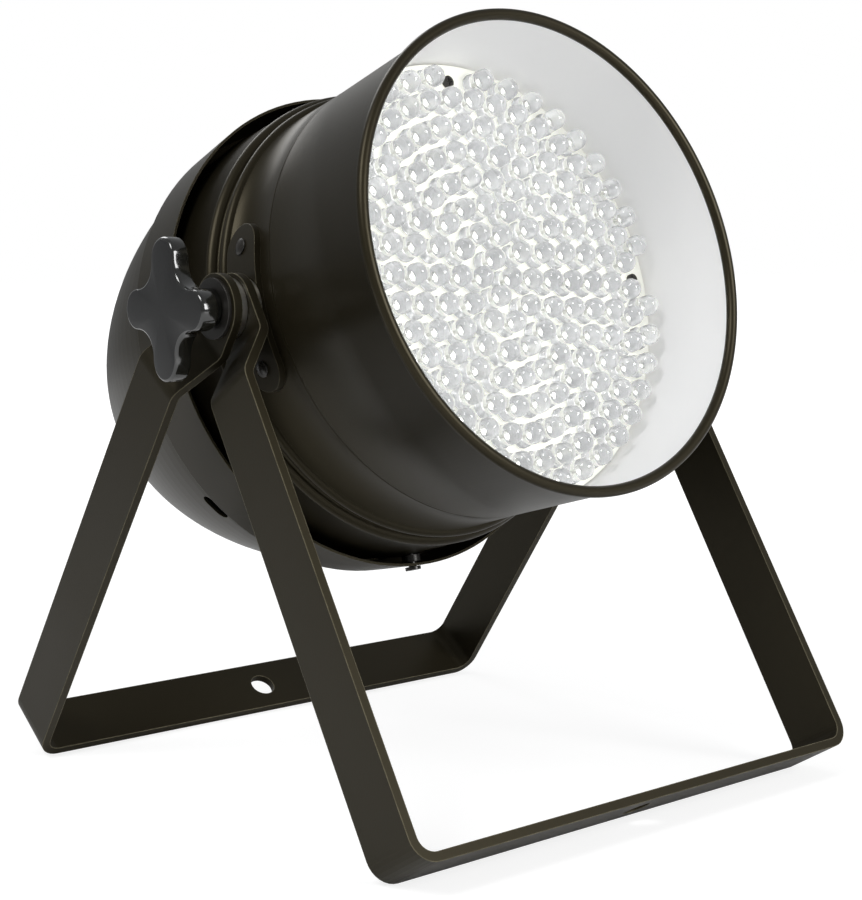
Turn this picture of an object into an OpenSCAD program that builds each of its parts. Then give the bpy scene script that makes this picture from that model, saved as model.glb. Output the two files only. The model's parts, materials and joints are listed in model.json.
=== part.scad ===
// Floor-standing par can light with a double yoke.
// Origin: centre of the footprint on the floor. +Z up, the lamp shines towards -Y.
// The can, the two yokes and the clamp knobs share one pivot axis along X.

/* [Can] */
// Upward tilt of the beam from level, degrees
can_tilt = 15.9; // [0:1:30]
// Outer radius of the straight part of the barrel
barrel_r = 104.5; // [102:0.5:126]
// Sheet thickness of the barrel
barrel_wall = 1.2; // [0.8:0.1:2]
// How far the mouth flares out behind the rolled rim
mouth_flare = 1.7; // [0.5:0.1:3]
// Distance from the pivot axis to the centre of the rolled rim
rim_reach = 86.3; // [70:0.1:130]
// Radius of the rolled rim's section
rim_bead_r = 2.5; // [1.5:0.1:3.5]
// Distance from the pivot axis to the crease where the mouth begins to flare
crease_reach = 18; // [16:1:30]
// Step up in radius between the two ribs
rib_step = 2.5; // [1.5:0.5:3.5]
// Step up in radius from the barrel to the band behind the ribs
band_step = 6; // [5:0.5:7]
// Distance from the pivot axis back to the first rib
rib_back = 16; // [14:0.5:24]
// Distance between the two ribs
rib_pitch = 7; // [5:0.5:12]
// Distance from the pivot axis back to the barrel's rear edge
barrel_back = 58; // [50:1:90]

/* [Rear housing] */
// Radius of the housing's front edge beyond the barrel
skirt_step = 12; // [11:0.5:14]
// Narrowing of the skirt towards its rear end
skirt_taper = 2.9; // [2:0.1:3.5]
// How far the skirt reaches forward over the band
skirt_overlap = 12; // [-2:1:18]
// Length of the skirt
skirt_len = 34; // [28:1:50]
// Radius where the dome begins, beyond the barrel
dome_rise = 5.5; // [4:0.5:7]
// Length of the small step between the skirt and the dome
dome_step = 3; // [2:0.5:6]
// Radius of the dome's long curve as a share of the radius where it begins
dome_curve = 2.364; // [2.2:0.004:2.4]
// Slope of the dome where it begins, degrees
dome_slope_from = 8; // [4:1:12]
// Slope of the dome where it turns into the rear face, degrees
dome_slope_to = 34; // [28:1:38]
// Radius of the turn into the rear face
dome_corner_r = 14; // [8:1:20]
// Sheet thickness of the rear housing
housing_wall = 1.2; // [0.8:0.1:2]
// Radius of the rear opening
rear_opening_r = 49; // [48.5:0.5:50]
// Length of each vent slot
vent_len = 15; // [8:1:24]
// Width of each vent slot
vent_w = 8; // [4:1:10]

/* [Yokes] */
// Width of the flat bar
bar_w = 30; // [24:1:36]
// Thickness of the flat bar
bar_t = 4; // [3:0.5:5]
// Clearance between the skirt and the front yoke's arms
front_clear = 9.5; // [6:0.5:14]
// Pivot axis to the outer face of the front crossbar
front_len = 247; // [235:1:300]
// Lean of the front yoke from upright, degrees
front_lean = 31; // [20:1:45]
// Clearance between the two yokes' arms
yoke_clear = 5.9; // [4:0.1:9]
// Lean of the rear yoke from upright, degrees
rear_lean = 35.8; // [20:0.1:45]
// Bend radius on the inside of the crossbar corners
corner_bend_r = 7; // [4:1:12]
// Bend radius on the inside of the joggles
joggle_bend_r = 5; // [3:1:8]
// Edge of the washers to the start of the joggle
joggle_gap = 4; // [2.5:0.5:7]
// Length of the joggle along the arm
joggle_len = 19; // [15:1:25]
// How much lower the front yoke's joggle lies, and how much higher the rear yoke's
joggle_shift = 1.2; // [0:0.1:3]
// Radius of the hanging hole in each crossbar
hang_hole_r = 6.5; // [5:0.5:8]

/* [Pivot hardware] */
// Shank radius of the pivot bolts
bolt_r = 4; // [3:0.5:5]
// Radial clearance of what turns on the bolts
bolt_clear = 0.08; // [0.03:0.01:0.1]
// Thickness of the pivot straps
strap_t = 3; // [2:0.5:4]
// Width of the pivot straps
strap_w = 22; // [20:1:26]
// Length of the pivot straps, end to end
strap_len = 74; // [62:1:84]
// Distance of the strap rivets from the pivot axis
rivet_reach = 27; // [20:0.5:32]
// Outer radius of the washers
washer_r = 13; // [10:0.5:14]
// Thickness of the washer between strap and front yoke
inner_washer_t = 3; // [2:0.5:5]
// Thickness of the washer between the two yokes
middle_washer_t = 3.9; // [2.5:0.1:6]
// Thickness of the washer under the knob
outer_washer_t = 1.6; // [1:0.1:3]
// Running gap between faces that turn on each other
face_gap = 0.1; // [0.05:0.05:0.2]

/* [Clamp knobs] */
// Tip to tip width of the knob
knob_w = 60; // [44:1:80]
// Width of each knob lobe
lobe_w = 17; // [14:1:20]
// Thickness of the knob's star
star_t = 9; // [6:0.5:14]
// Length of the knob's hub under the star
hub_len = 15.6; // [10:0.1:24]
// Radius of the knob's hub
hub_r = 8.7; // [8:0.1:11]
// Radius of the threaded insert
insert_r = 6; // [5.5:0.1:7]

/* [LED array] */
// Distance from the pivot axis to the front of the LED board
board_reach = 35; // [33:0.5:45]
// Thickness of the LED board
board_t = 1.6; // [1:0.2:3]
// Radial gap between the LED board and the barrel
board_gap = 0.9; // [0.5:0.1:2]
// Radius of the innermost ring of four
led_inner_r = 8.5; // [8.5:0.1:10]
// Distance between full rings
led_pitch = 12.6; // [12:0.1:13.4]
// Distance from the board's edge in to the outer ring
led_margin = 8.3; // [7:0.1:10]
// Distance between neighbours in the outer ring
led_spacing = 14.9; // [13:0.1:16]
// Radius of an LED's dome
led_r = 5; // [4:0.5:5]
// Height of an LED's dome centre above the board
led_dome_h = 8.8; // [7:0.1:10]
// Distance from the board's edge in to its screws
board_screw_margin = 8.5; // [7:0.1:10]

/* [Controls] */
// Side to side distance between the two data sockets
socket_pitch = 40; // [38:1:44]
// Travel of each menu button
button_travel = 0.8; // [0.4:0.1:1]
// Radius of each menu button
button_r = 3; // [2:0.1:3.5]
// Distance between the menu buttons
button_pitch = 12; // [9:0.5:13]
// Radius of the hole through the cable gland
gland_bore_r = 3.6; // [2.5:0.1:4.5]

/* [Hidden] */
$fn = 96;
SIDES = [-1, 1];
COARSE_FN = 32;
ARC_STEPS = 8;
EPS = 0.02;

// Radii that follow the barrel
mouth_r = barrel_r + mouth_flare;
rib_step_r = barrel_r + rib_step;
band_r = barrel_r + band_step;
skirt_r = barrel_r + skirt_step;
skirt_rear_r = skirt_r - skirt_taper;
dome_r = barrel_r + dome_rise;
dome_curve_r = dome_r * dome_curve;
front_half_w = skirt_r + front_clear + bar_t;
rear_half_w = front_half_w + yoke_clear + bar_t;

// Pivot stack: distances from the middle of the lamp to each face
skirt_back = barrel_back - skirt_overlap;
joggle_start = washer_r + joggle_gap;
joggle_end = joggle_start + joggle_len;
strap_out = barrel_r + strap_t;
front_arm_in = strap_out + inner_washer_t + face_gap;
front_arm_out = front_arm_in + bar_t;
rear_arm_in = front_arm_out + middle_washer_t + 2 * face_gap;
rear_arm_out = rear_arm_in + bar_t;
knob_in = rear_arm_out + outer_washer_t + face_gap;
star_in = knob_in + hub_len;
turning_bore_r = bolt_r + bolt_clear;

// Height of the pivot axis: each crossbar rests on the lower edge of its bar
pivot_z = front_len * cos(front_lean) + bar_w / 2 * sin(front_lean);
rear_len = (pivot_z - bar_w / 2 * sin(rear_lean)) / cos(rear_lean);

// Rear housing: stations along the can axis, negative behind the pivot
dome_start_s = -skirt_back - skirt_len - dome_step;
dome_end_s = dome_start_s - dome_curve_r * (sin(dome_slope_to) - sin(dome_slope_from));
dome_end_r = dome_r - dome_curve_r * (cos(dome_slope_from) - cos(dome_slope_to));
corner_s = dome_end_s + dome_corner_r * sin(dome_slope_to);
corner_r = dome_end_r - dome_corner_r * cos(dome_slope_to);
rear_s = corner_s - dome_corner_r;

// Footprint: the front yoke's front edge and the rear housing's furthest point
front_y = -front_len * sin(front_lean) - bar_w / 2 * cos(front_lean);
back_y = -corner_s * cos(can_tilt) + corner_r * sin(can_tilt) + dome_corner_r;
pivot_y = -(front_y + back_y) / 2;

// Barrel ribs
rib_h = 2.2;
rib_half = 2;
first_rib_s = -rib_back;
second_rib_s = -rib_back - rib_pitch;
barrel_in_r = barrel_r - barrel_wall;
// Inner radius of the flared mouth at station s
function mouth_in_r(s) = barrel_in_r
    + (mouth_r - barrel_r) * (s - crease_reach) / (rim_reach - crease_reach);
// Outer radius of the band at its rear edge, and its inner radius
band_in_r = band_r - barrel_wall;

// Fasteners
rivet_r = 1.8;
rivet_head_r = 3.6;
rivet_head_h = 1.6;
rivet_angle = asin(rivet_reach / strap_out);
small_screw_r = 1.5;
small_head_r = 2.8;
small_head_h = 1.8;
cap_screw_r = 2;
cap_screw_head_r = 3.8;
cap_screw_head_h = 1.6;
cap_screw_inset = 8;
cap_screw_s = -skirt_back - cap_screw_inset;
cap_screw_count = 4;
cap_spacer_r = 4.5;
// Clearance between the flat ends of screw heads and spacers and the tapered sheets
cap_clear = 0.15;
// Seat of the screw heads, over the widest part of the skirt under them
cap_screw_seat_r = skirt_out_r(cap_screw_s + cap_screw_head_r) + cap_clear;
// Outer radius of the skirt at station s
function skirt_out_r(s) = skirt_r - skirt_taper * (-skirt_back - s) / skirt_len;
bolt_head_r = 6.5;
bolt_head_h = 5;
backing_washer_t = 1.5;

// Knob: radius of the hollows between the lobes, as a share of a lobe's straight side
star_hollow = 0.97;

// Board ring and posts
board_r = mouth_in_r(board_reach - board_t) - board_gap;
board_screw_r = board_r - board_screw_margin;
ring_front_s = crease_reach - 2;
ring_depth = 8;
ring_t = 1.5;
ring_flange_w = 8;
ring_in_r = board_screw_r - ring_flange_w;
post_r = 3;
post_len = board_reach - board_t - ring_front_s;
board_screw_count = 4;

// LED rings: four in the innermost, six more in each ring further out, and an
// outer ring whose places line up with the screws and leave them room
led_first_count = 4;
led_ring_step = 6;
led_spoke = -2.5;
led_outer_gap = 10.2;
led_outer_r = board_r - led_margin;
led_outer_count = board_screw_count * round(2 * PI * led_outer_r / led_spacing / board_screw_count);
led_rings = floor((led_outer_r - led_outer_gap - led_inner_r) / led_pitch) + 1;
led_flange_r = led_r + 0.6;
led_flange_h = 1.5;

// Chassis disc with the power supply
chassis_clear = 3;
chassis_s = cap_screw_s + cap_screw_r + chassis_clear;
chassis_t = 1.5;
toroid_r = 34;
toroid_h = 30;
toroid_core_r = 12;
toroid_plate_t = 1.5;
toroid_bolt_r = 2.5;
supply_board = [110, 62, 1.6];
supply_offset = 5;
supply_y = -58;
supply_capacitor_r = 9;
supply_capacitor_h = 26;

// Rear plate and what it carries, in the plate's own x and y
plate_t = 1.5;
plate_r = 54;
plate_face_s = rear_s + housing_wall;
plate_back_s = plate_face_s + plate_t;
plate_screw_r = 51.8;
plate_screw_count = 4;
socket_y = -6;
socket_flange = [26, 31, 2];
socket_bore_r = 9.4;
socket_depth = 13;
socket_body_r = 11.4;
socket_body_len = 22;
socket_pin_r = 1.2;
socket_pin_ring = 4;
socket_pin_len = 9;
socket_pin_base = 2;
socket_screw_x = 9.5;
socket_screw_y = 12;
display_y = 29;
display_size = [32, 13];
button_y = 16;
button_cap_h = 2;
button_clear = 0.3;
gland_y = -36;
gland_thread_r = 6;
gland_hex_r = 9;
gland_hex_h = 5;
gland_cap_r = 8;
gland_cap_h = 10;
gland_nut_h = 4;
gland_seal_t = 1.6;
control_board = [56, 32, 1.6];
control_clear = 0.6;
control_gap = 3;
control_pillar_r = 2;
ribbon = [14, 1];
ribbon_y = -17;
ribbon_landing = 6;
dimmer_board = [70, 50, 1.6];
dimmer_post_len = 8;
chip_rows = 3;

// ---- Frames ----

// Pivot axis along X, upright
module at_pivot() { translate([0, pivot_y, pivot_z]) children(); }

// Can frame: +Z along the beam, +Y up across it, X to the lamp's own side
module can_frame() { at_pivot() rotate([90 - can_tilt, 0, 0]) children(); }

// Yoke frame: -Z down the arms
module yoke_frame(lean) { at_pivot() rotate([lean, 0, 0]) children(); }

// Rear plate frame: +Z out of the plate's outer face, towards the back
module plate_frame() { can_frame() translate([0, 0, plate_face_s]) rotate([0, 180, 0]) children(); }

// On the pivot axis at distance x from the middle, +Z pointing outwards
module on_axis(side, x) { translate([side * x, 0, 0]) rotate([0, side * 90, 0]) children(); }

// A ring of copies at radius r in the can frame
module around(count, r, start = 0) {
    for (i = [0:count - 1]) rotate([0, 0, start + i * 360 / count]) translate([r, 0, 0]) children();
}

// ---- Outline helpers ----

function unit(v) = v / norm(v);
function turn_left(v) = [-v[1], v[0]];
function wrap(angle) = angle > 180 ? angle - 360 : angle < -180 ? angle + 360 : angle;

// Points of an arc in the plane
function arc(centre, r, from, to, steps = ARC_STEPS) =
    [for (i = [0:steps]) centre + r * [cos(from + (to - from) * i / steps), sin(from + (to - from) * i / steps)]];

// Vertex i of a path moved sideways by d, keeping both neighbouring lines parallel
function shifted(path, i, d) = let(
    last = len(path) - 1,
    before = turn_left(unit(path[max(i, 1)] - path[max(i, 1) - 1])),
    after = turn_left(unit(path[min(i, last - 1) + 1] - path[min(i, last - 1)]))
) path[i] + d * (before + after) / (1 + before * after);

function offset_path(path, d) = [for (i = [0:len(path) - 1]) shifted(path, i, d)];

// Rounded corner at p between a and b
function rounded(a, p, b, r) = let(
    u = unit(a - p), w = unit(b - p), half = acos(u * w) / 2,
    centre = p + unit(u + w) * r / sin(half),
    start = p + u * r / tan(half) - centre, stop = p + w * r / tan(half) - centre,
    from = atan2(start[1], start[0])
) arc(centre, r, from, from + wrap(atan2(stop[1], stop[0]) - from));

// One edge of a bent bar: the path moved by d, each corner rounded to suit its side of the bend
function bar_edge(path, radii, d) = let(p = offset_path(path, d), last = len(path) - 1)
    [for (i = [0:last]) each (i == 0 || i == last) ? [p[i]]
        : rounded(p[i - 1], p[i], p[i + 1],
            radii[i] + bar_t / 2 - d * sign(cross(path[i] - path[i - 1], path[i + 1] - path[i])))];

function reversed(list) = [for (i = [len(list) - 1:-1:0]) list[i]];

// A sheet wall of revolution: outer outline with its inner face t further in
module turned_sheet(outline, t) {
    rotate_extrude() polygon(concat(outline, reversed(offset_path(outline, -t))));
}

// ---- Yokes ----

// Flat bar bent to a U, joggled inwards at both pivots. Arms reach down to -length, and
// the joggle lies lower by drop.
module yoke(half_w, arm_out, length, drop) {
    top_x = arm_out - bar_t / 2;
    low_x = half_w - bar_t / 2;
    side = [[top_x, bar_w], [top_x, -joggle_start - drop], [low_x, -joggle_end - drop],
            [low_x, -length + bar_t / 2]];
    path = concat([for (p = side) [-p[0], p[1]]], reversed(side));
    radii = [0, joggle_bend_r, joggle_bend_r, corner_bend_r, corner_bend_r, joggle_bend_r, joggle_bend_r, 0];
    difference() {
        intersection() {
            rotate([90, 0, 0]) linear_extrude(bar_w, center = true)
                polygon(concat(bar_edge(path, radii, bar_t / 2), reversed(bar_edge(path, radii, -bar_t / 2))));
            union() {
                rotate([0, 90, 0]) cylinder(r = bar_w / 2, h = 2 * half_w, center = true);
                translate([0, 0, -length]) cube([2 * half_w + 2, bar_w + 2, 2 * length], center = true);
            }
        }
        rotate([0, 90, 0]) cylinder(r = turning_bore_r, h = 3 * half_w, center = true);
        translate([0, 0, -length]) cylinder(r = hang_hole_r, h = 4 * bar_t, center = true);
    }
}

module front_yoke() {
    color("#26251f") yoke_frame(-front_lean) yoke(front_half_w, front_arm_out, front_len, joggle_shift);
}

module rear_yoke() {
    color("#2a2924") yoke_frame(rear_lean) yoke(rear_half_w, rear_arm_out, rear_len, -joggle_shift);
}

// ---- Barrel and rear housing ----

// Half-round rib outline on the outside, rising h above radii r0 and r1 on its two sides
function rib(s, r0, r1) = [for (i = [0:ARC_STEPS]) let(a = 180 * i / ARC_STEPS, k = i / ARC_STEPS)
    [r0 + (r1 - r0) * k + rib_h * sin(a), s + rib_half * cos(a)]];

function barrel_outline() = concat(
    [[mouth_r, rim_reach], [barrel_r, crease_reach]],
    rib(first_rib_s, barrel_r, rib_step_r - rib_h / 2),
    rib(second_rib_s, rib_step_r - rib_h / 2, band_r - rib_h / 2),
    [[band_r, -barrel_back]]);

module barrel() {
    color("#2b2a25") can_frame() difference() {
        union() {
            turned_sheet(barrel_outline(), barrel_wall);
            rotate_extrude() translate([mouth_r - rim_bead_r / 4, rim_reach]) circle(r = rim_bead_r, $fn = COARSE_FN);
        }
        for (side = SIDES) {
            on_axis(side, barrel_in_r - 5) cylinder(r = bolt_r, h = 10);
            rivets(side) translate([0, 0, -5]) cylinder(r = rivet_r, h = 10);
        }
        around(cap_screw_count, band_in_r - 5) rotate([0, 90, 0]) translate([-cap_screw_s, 0, 0])
            cylinder(r = cap_screw_r, h = 10);
    }
}

function housing_outline() = concat(
    [[skirt_r, -skirt_back], [skirt_rear_r, -skirt_back - skirt_len], [dome_r, dome_start_s]],
    [for (i = [1:2 * ARC_STEPS]) let(a = dome_slope_from + (dome_slope_to - dome_slope_from) * i / (2 * ARC_STEPS))
        [dome_r - dome_curve_r * (cos(dome_slope_from) - cos(a)),
         dome_start_s - dome_curve_r * (sin(a) - sin(dome_slope_from))]],
    [for (i = [1:ARC_STEPS]) let(a = dome_slope_to + (90 - dome_slope_to) * i / ARC_STEPS)
        [corner_r + dome_corner_r * cos(a), corner_s - dome_corner_r * sin(a)]],
    [[rear_opening_r, rear_s]]);

// Slot with round ends, long way round the can
module vent_slot() {
    reach = vent_len / 2 - vent_w / 2;
    rotate([0, 90, 0]) linear_extrude(30, center = true) {
        square([vent_w, 2 * reach], center = true);
        for (y = [-reach, reach]) translate([0, y]) circle(d = vent_w);
    }
}

module rear_housing() {
    color("#2b2a25") can_frame() difference() {
        turned_sheet(housing_outline(), housing_wall);
        for (angle = [-138, -90, -42]) rotate([0, 0, angle])
            translate([dome_r, 0, dome_start_s - vent_w]) vent_slot();
        around(cap_screw_count, band_r) rotate([0, 90, 0]) translate([-cap_screw_s, 0, 0])
            cylinder(r = cap_screw_r, h = 20);
        around(plate_screw_count, plate_screw_r, 45) translate([0, 0, rear_s - 5])
            cylinder(r = small_screw_r, h = 10);
    }
}

// ---- Pivot straps, rivets, bolts and washers ----

// Rivet places on the strap, +Z outwards
module rivets(side) {
    for (turn = [-rivet_angle, rivet_angle]) rotate([0, 0, turn]) on_axis(side, strap_out) children();
}

module pivot_strap(side) {
    color("#33322d") can_frame() difference() {
        intersection() {
            rotate_extrude() translate([barrel_r, -strap_w]) square([strap_t, 2 * strap_w]);
            on_axis(side, barrel_r - 20) linear_extrude(60) {
                reach = strap_len / 2 - strap_w / 2;
                square([strap_w, 2 * reach], center = true);
                for (y = [-reach, reach]) translate([0, y]) circle(d = strap_w);
            }
        }
        on_axis(side, barrel_r - 20) cylinder(r = bolt_r, h = 60);
        rivets(side) translate([0, 0, -2 * strap_t]) cylinder(r = rivet_r, h = 4 * strap_t);
    }
}

module strap_rivets(side) {
    color("#3a3933") can_frame() rivets(side) {
        intersection() {
            translate([0, 0, rivet_head_h - rivet_head_r * 2]) sphere(r = rivet_head_r * 2, $fn = COARSE_FN);
            cylinder(r = rivet_head_r, h = 2 * rivet_head_h);
        }
        translate([0, 0, -strap_t - barrel_wall - 1]) cylinder(r = rivet_r, h = strap_t + barrel_wall + 1.5);
    }
}

module pivot_bolt(side) {
    color("silver") can_frame() on_axis(side, 0) {
        head_z = barrel_in_r - backing_washer_t - 1 - bolt_head_h;
        translate([0, 0, head_z]) cylinder(r = bolt_head_r, h = bolt_head_h, $fn = 6);
        translate([0, 0, head_z + bolt_head_h]) cylinder(r = bolt_head_r + 2, h = backing_washer_t);
        translate([0, 0, head_z]) cylinder(r = bolt_r, h = star_in + star_t / 3 - head_z);
    }
}

module washer(side, from, t) {
    color("silver") can_frame() on_axis(side, from) difference() {
        cylinder(r = washer_r, h = t);
        translate([0, 0, -1]) cylinder(r = turning_bore_r, h = t + 2);
    }
}

// ---- Clamp knobs ----

// Four-lobed star outline with hollow corners
module star_outline() {
    corner_r = (knob_w / 2 - lobe_w) * star_hollow;
    corner_at = lobe_w / 2 + corner_r;
    for (turn = [0, 90]) rotate(turn) {
        square([knob_w - lobe_w, lobe_w], center = true);
        for (x = SIDES) translate([x * (knob_w - lobe_w) / 2, 0]) circle(d = lobe_w);
    }
    difference() {
        square(2 * corner_at, center = true);
        for (x = SIDES, y = SIDES) translate([x * corner_at, y * corner_at]) circle(r = corner_r);
    }
}

module knob(side) {
    color("#1c1c1b") at_pivot() on_axis(side, knob_in) difference() {
        union() {
            cylinder(r = hub_r, h = hub_len + 1);
            translate([0, 0, hub_len - 4]) cylinder(r1 = hub_r, r2 = hub_r + 4, h = 4);
            translate([0, 0, hub_len]) linear_extrude(star_t) star_outline();
        }
        translate([0, 0, -1]) cylinder(r = insert_r, h = hub_len + star_t / 2 + 1);
    }
}

module knob_insert(side) {
    color("goldenrod") at_pivot() on_axis(side, knob_in) difference() {
        cylinder(r = insert_r, h = hub_len + star_t / 2);
        translate([0, 0, -1]) cylinder(r = turning_bore_r, h = hub_len + star_t + 2);
    }
}

// ---- LED array ----

module led_board() {
    color("whitesmoke") can_frame() translate([0, 0, board_reach - board_t]) difference() {
        cylinder(r = board_r, h = board_t);
        around(board_screw_count, board_screw_r) translate([0, 0, -1])
            cylinder(r = small_screw_r, h = board_t + 2);
    }
}

module led() {
    cylinder(r = led_flange_r, h = led_flange_h, $fn = COARSE_FN);
    cylinder(r = led_r, h = led_dome_h, $fn = COARSE_FN);
    translate([0, 0, led_dome_h]) sphere(r = led_r, $fn = COARSE_FN);
}

// Full rings, the last one half a place round from the outer ring, which skips the screws
module leds() {
    color("ghostwhite") can_frame() translate([0, 0, board_reach]) {
        for (k = [0:led_rings - 1])
            around(led_first_count + led_ring_step * k, led_inner_r + k * led_pitch,
                k == led_rings - 1 ? 180 / led_outer_count : led_spoke) led();
        for (i = [0:led_outer_count - 1]) if (i % (led_outer_count / board_screw_count) != 0)
            rotate([0, 0, i * 360 / led_outer_count]) translate([led_outer_r, 0, 0]) led();
    }
}

// Flanged ring inside the barrel that carries the LED board's posts
module board_ring() {
    color("lightgray") can_frame() difference() {
        translate([0, 0, ring_front_s - ring_depth]) rotate_extrude() polygon([
            [ring_in_r, ring_depth - ring_t], [ring_in_r, ring_depth], [barrel_in_r, ring_depth],
            [barrel_in_r, 0], [barrel_in_r - ring_t, 0], [barrel_in_r - ring_t, ring_depth - ring_t]]);
        around(board_screw_count, board_screw_r) translate([0, 0, ring_front_s - ring_depth])
            cylinder(r = small_screw_r, h = 2 * ring_depth);
    }
}

module board_posts() {
    color("goldenrod") can_frame() around(board_screw_count, board_screw_r)
        translate([0, 0, ring_front_s]) difference() {
            cylinder(r = post_r, h = post_len);
            translate([0, 0, -1]) cylinder(r = small_screw_r, h = post_len + 2);
        }
}

// Board screws run through the board and its post
module board_screws() {
    color("#555555") can_frame() around(board_screw_count, board_screw_r) {
        translate([0, 0, board_reach]) screw_head(small_head_r, small_head_h);
        translate([0, 0, ring_front_s - ring_t]) cylinder(r = small_screw_r, h = post_len + board_t + ring_t);
    }
}

// Pan head with a cross recess, standing on z = 0
module screw_head(r, h) {
    difference() {
        cylinder(r = r, h = h);
        for (turn = [0, 90]) rotate([0, 0, turn]) translate([0, 0, h]) cube([1.3 * r, 0.3 * r, h], center = true);
    }
}

// ---- Electronics behind the LEDs ----

module board_corners(size, inset = 5) {
    for (x = SIDES, y = SIDES) translate([x * (size[0] / 2 - inset), y * (size[1] / 2 - inset), 0]) children();
}

dimmer_s = board_reach - board_t - dimmer_post_len;

module dimmer_board() {
    color("darkgreen") can_frame() translate([0, 0, dimmer_s - dimmer_board[2]]) difference() {
        translate([0, 0, dimmer_board[2] / 2]) cube(dimmer_board, center = true);
        board_corners(dimmer_board) translate([0, 0, -1]) cylinder(r = small_screw_r, h = 5);
    }
}

module dimmer_posts() {
    color("white") can_frame() board_corners(dimmer_board) translate([0, 0, dimmer_s - dimmer_board[2] - 1.5]) {
        cylinder(r = small_screw_r, h = dimmer_post_len + dimmer_board[2] + 1.5);
        cylinder(r = post_r, h = 1.5);
        translate([0, 0, dimmer_board[2] + 1.5]) cylinder(r = post_r, h = dimmer_post_len);
    }
}

module dimmer_transistors() {
    color("#222222") can_frame() for (i = [0:chip_rows - 1])
        translate([(i - (chip_rows - 1) / 2) * 18, 0, dimmer_s - dimmer_board[2] - 2.5])
            cube([10, 15, 5], center = true);
}

// Flat cable from the dimmer board back to the control board
module led_ribbon_cable() {
    from = dimmer_s - dimmer_board[2];
    to = plate_back_s + control_gap + control_board[2];
    top = control_y - control_board[1] / 2 + ribbon_landing;
    color("lightsteelblue") can_frame() translate([-ribbon[0] / 2, ribbon_y, to]) {
        cube([ribbon[0], ribbon[1], from - to]);
        cube([ribbon[0], top - ribbon_y, ribbon[1]]);
    }
}

// Disc across the rear of the barrel, with an opening for the flat cable
module chassis_disc() {
    color("gray") can_frame() translate([0, 0, chassis_s - chassis_t]) difference() {
        cylinder(r = chassis_r(), h = chassis_t);
        translate([0, ribbon_y, 0]) cube([ribbon[0] + 8, 8, 4 * chassis_t], center = true);
        translate([0, toroid_y, -1]) cylinder(r = toroid_bolt_r, h = 5);
        translate([0, supply_y, 0]) board_corners(supply_board) translate([0, 0, -1])
            cylinder(r = small_screw_r, h = 5);
    }
}

// Inner radius of the barrel's band where the chassis disc sits
function chassis_r() = let(k = (chassis_s - second_rib_s + rib_half) / (-barrel_back - second_rib_s + rib_half))
    (band_r - rib_h / 2 + rib_h / 2 * k) - barrel_wall - 0.1;

toroid_y = toroid_r + 8;

module toroid_transformer() {
    color("peru") can_frame() translate([0, toroid_y, chassis_s - chassis_t - toroid_h]) difference() {
        cylinder(r = toroid_r, h = toroid_h);
        translate([0, 0, -1]) cylinder(r = toroid_core_r, h = toroid_h + 2);
    }
}

module toroid_plate() {
    color("silver") can_frame() translate([0, toroid_y, chassis_s - chassis_t - toroid_h - toroid_plate_t])
        difference() {
            cylinder(r = toroid_core_r + 8, h = toroid_plate_t);
            translate([0, 0, -1]) cylinder(r = toroid_bolt_r, h = 5);
        }
}

module toroid_bolt() {
    length = toroid_h + toroid_plate_t + chassis_t + 4;
    color("silver") can_frame() translate([0, toroid_y, chassis_s + 4 - length]) {
        cylinder(r = toroid_bolt_r, h = length);
        translate([0, 0, -4]) cylinder(r = 4.6, h = 4, $fn = 6);
        translate([0, 0, length - 4]) cylinder(r = 4.6, h = 4, $fn = 6);
    }
}

supply_s = chassis_s - chassis_t - supply_offset;

module supply_board() {
    color("darkgreen") can_frame() translate([0, supply_y, supply_s - supply_board[2]]) difference() {
        translate([0, 0, supply_board[2] / 2]) cube(supply_board, center = true);
        board_corners(supply_board) translate([0, 0, -1]) cylinder(r = small_screw_r, h = 5);
    }
}

module supply_posts() {
    color("white") can_frame() translate([0, supply_y, 0]) board_corners(supply_board)
        translate([0, 0, supply_s - supply_board[2] - 1.5]) {
            cylinder(r = small_screw_r, h = supply_offset + supply_board[2] + chassis_t + 1.5);
            cylinder(r = post_r, h = 1.5);
            translate([0, 0, supply_board[2] + 1.5]) cylinder(r = post_r, h = supply_offset);
        }
}

module supply_capacitors() {
    color("#20304a") can_frame() for (x = SIDES)
        translate([x * 24, supply_y - 6, supply_s - supply_board[2] - supply_capacitor_h])
            cylinder(r = supply_capacitor_r, h = supply_capacitor_h);
}

// ---- Housing fasteners ----

// Screw places through skirt and band, +Z outwards
module cap_screw_places(r) {
    around(cap_screw_count, r) translate([0, 0, cap_screw_s]) rotate([0, 90, 0]) children();
}

module cap_screws() {
    inner = band_in_r - 4;
    color("#3a3933") can_frame() cap_screw_places(inner) {
        cylinder(r = cap_screw_r, h = cap_screw_seat_r - inner + 0.5);
        translate([0, 0, cap_screw_seat_r - inner]) screw_head(cap_screw_head_r, cap_screw_head_h);
    }
}

module cap_spacers() {
    rear_edge_s = cap_screw_s - cap_spacer_r;
    inner = band_out_r(rear_edge_s) + cap_clear;
    skirt_in_r = skirt_out_r(rear_edge_s) - housing_wall * norm([1, skirt_taper / skirt_len]);
    outer = sqrt(pow(skirt_in_r - cap_clear, 2) - pow(cap_spacer_r, 2));
    color("silver") can_frame() cap_screw_places(inner) difference() {
        cylinder(r = cap_spacer_r, h = outer - inner);
        translate([0, 0, -1]) cylinder(r = cap_screw_r, h = outer - inner + 2);
    }
}

// Outer radius of the band at station s
function band_out_r(s) = let(k = (s - second_rib_s + rib_half) / (-barrel_back - second_rib_s + rib_half))
    band_r - rib_h / 2 + rib_h / 2 * k;

// ---- Rear plate ----

module socket_places() { for (x = SIDES) translate([x * socket_pitch / 2, socket_y, 0]) children(); }

module button_places() { for (i = [0:3]) translate([(i - 1.5) * button_pitch, button_y, 0]) children(); }

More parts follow.
